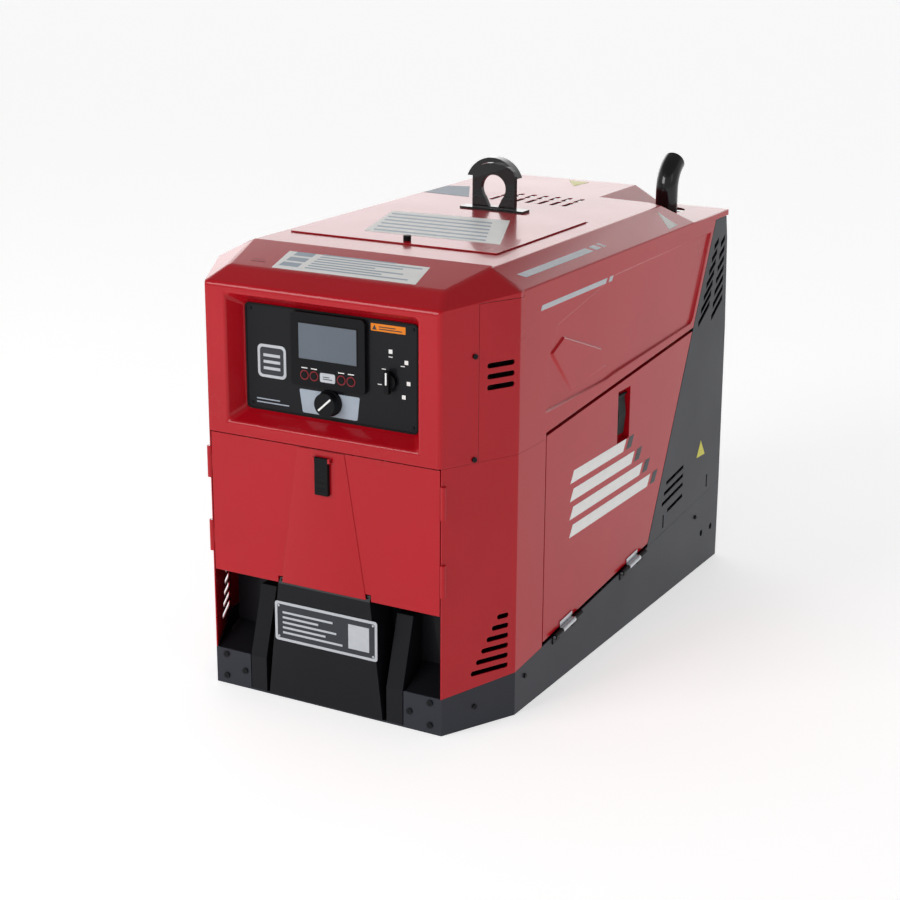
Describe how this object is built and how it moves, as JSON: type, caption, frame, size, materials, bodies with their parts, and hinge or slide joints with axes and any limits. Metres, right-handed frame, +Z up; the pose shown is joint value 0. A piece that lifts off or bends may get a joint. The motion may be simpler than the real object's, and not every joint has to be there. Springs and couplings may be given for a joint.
{
  "type": "engine driven welder",
  "caption": "Engine driven welder and generator in a low sheet metal case with a hooded control panel, hinged front and side doors, a lifting eye and a bent exhaust pipe.",
  "frame": {"origin": "on the ground under the middle of the case", "axes": "+Z up, +Y towards the rear, +X to the right as seen from the control panel, so the control panel faces -Y"},
  "size_m": [0.6206, 1.083, 0.88],
  "materials": {
    "red": "gloss",
    "charcoal": "satin",
    "black": "satin",
    "plastic": "matte",
    "zinc": "satin",
    "steel": "satin",
    "cast": "satin",
    "rubber": "matte",
    "glass": "gloss",
    "brass": "satin"
  },
  "bodies": {
    "machine": {"base_frame": "charcoal", "recess_liner": "black", "front_centre_panel": "black", "front_brace_right": "black", "front_brace_left": "black", "corner_panel_right": "red", "corner_panel_left": "red", "front_hinge_pins": "zinc", "front_shell": "red", "roof_shell": "red", "cover_hinge_pin": "zinc", "side_hinges": "black", "side_hinge_pins": "zinc", "rear_side_panel_right": "charcoal", "rear_side_panel_left": "charcoal", "rear_panel": "charcoal", "lift_frame": "black", "lift_eye": "black", "muffler": "steel", "exhaust_pipe": "black", "crankcase": "cast", "cylinder_left": "cast", "cylinder_right": "cast", "blower_housing": "black", "air_cleaner": "plastic", "oil_filter": "plastic", "starter_motor": "black", "generator_stator": "black", "rubber_mounts": "rubber", "bulkhead": "zinc", "fuel_tank": "plastic", "battery": "plastic", "inverter_module": "cast", "control_plate": "black", "display_module": "plastic", "display_screen": "glass", "output_panel": "black", "output_studs": "brass", "outlets": "plastic", "screws": "black"},
    "front_door_body": {"front_door": "red"},
    "front_latch_body": {"front_latch": "black"},
    "top_cover_body": {"top_cover": "red"},
    "cover_knob_body": {"cover_knob": "plastic"},
    "right_door_body": {"side_door_right": "red"},
    "left_door_body": {"side_door_left": "red"},
    "right_latch_body": {"side_latch_right": "black"},
    "left_latch_body": {"side_latch_left": "black"},
    "rotor_body": {"crankshaft": "steel", "generator_rotor": "steel", "flywheel_fan": "cast"},
    "fuel_cap_body": {"fuel_cap": "plastic"},
    "button_1_body": {"menu_button_1": "plastic"},
    "button_2_body": {"menu_button_2": "plastic"},
    "button_3_body": {"menu_button_3": "plastic"},
    "button_4_body": {"menu_button_4": "plastic"},
    "encoder_body": {"encoder_knob": "plastic"},
    "switch_body": {"engine_switch": "plastic"},
    "breaker_1_body": {"breaker_1": "plastic"},
    "breaker_2_body": {"breaker_2": "plastic"}
  },
  "joints": [
    {"name": "front_door_hinge", "type": "hinge", "parent": "machine", "child": "front_door_body", "pos_m": [-0.2335, -0.5355, 0.344], "axis": [0, 0, -1], "range_deg": [0, 150]},
    {"name": "front_latch_hinge", "type": "hinge", "parent": "front_door_body", "child": "front_latch_body", "pos_m": [0.003, -0.542, 0.456], "axis": [-1, 0, 0], "range_deg": [0, 35]},
    {"name": "top_cover_hinge", "type": "hinge", "parent": "machine", "child": "top_cover_body", "pos_m": [-0.013, 0.063, 0.7775], "axis": [-1, 0, 0], "range_deg": [0, 85]},
    {"name": "cover_knob_turn", "type": "hinge", "parent": "top_cover_body", "child": "cover_knob_body", "pos_m": [0.007, -0.266, 0.785], "axis": [0, 0, 1], "range_deg": [0, 90]},
    {"name": "right_door_hinge", "type": "hinge", "parent": "machine", "child": "right_door_body", "pos_m": [0.3053, 0, 0.119], "axis": [0, 0.9957, 0.0927], "range_deg": [0, 95]},
    {"name": "left_door_hinge", "type": "hinge", "parent": "machine", "child": "left_door_body", "pos_m": [-0.3053, 0, 0.119], "axis": [0, -0.9957, -0.0927], "range_deg": [0, 95]},
    {"name": "right_latch_hinge", "type": "hinge", "parent": "right_door_body", "child": "right_latch_body", "pos_m": [0.292, 0.028, 0.4725], "axis": [0, -1, 0], "range_deg": [0, 30]},
    {"name": "left_latch_hinge", "type": "hinge", "parent": "left_door_body", "child": "left_latch_body", "pos_m": [-0.292, 0.028, 0.4725], "axis": [0, 1, 0], "range_deg": [0, 30]},
    {"name": "crankshaft_turn", "type": "hinge", "parent": "machine", "child": "rotor_body", "pos_m": [0, 0, 0.33], "axis": [0, 1, 0], "continuous": true},
    {"name": "fuel_cap_turn", "type": "hinge", "parent": "machine", "child": "fuel_cap_body", "pos_m": [-0.095, -0.11, 0.7466], "axis": [0, 0, 1], "range_deg": [0, 120]},
    {"name": "button_1_press", "type": "slide", "parent": "machine", "child": "button_1_body", "axis": [0, 1, 0], "range_m": [0, 0.0015], "stiffness_N_per_m": 400},
    {"name": "button_2_press", "type": "slide", "parent": "machine", "child": "button_2_body", "axis": [0, 1, 0], "range_m": [0, 0.0015], "stiffness_N_per_m": 400},
    {"name": "button_3_press", "type": "slide", "parent": "machine", "child": "button_3_body", "axis": [0, 1, 0], "range_m": [0, 0.0015], "stiffness_N_per_m": 400},
    {"name": "button_4_press", "type": "slide", "parent": "machine", "child": "button_4_body", "axis": [0, 1, 0], "range_m": [0, 0.0015], "stiffness_N_per_m": 400},
    {"name": "encoder_turn", "type": "hinge", "parent": "machine", "child": "encoder_body", "pos_m": [0, -0.508, 0.547], "axis": [0, 1, 0], "continuous": true},
    {"name": "engine_switch_turn", "type": "hinge", "parent": "machine", "child": "switch_body", "pos_m": [0.117, -0.508, 0.6], "axis": [0, 1, 0], "range_deg": [-45, 75]},
    {"name": "breaker_1_press", "type": "slide", "parent": "machine", "child": "breaker_1_body", "axis": [0, 1, 0], "range_m": [0, 0.004], "stiffness_N_per_m": 400},
    {"name": "breaker_2_press", "type": "slide", "parent": "machine", "child": "breaker_2_body", "axis": [0, 1, 0], "range_m": [0, 0.004], "stiffness_N_per_m": 400}
  ]
}
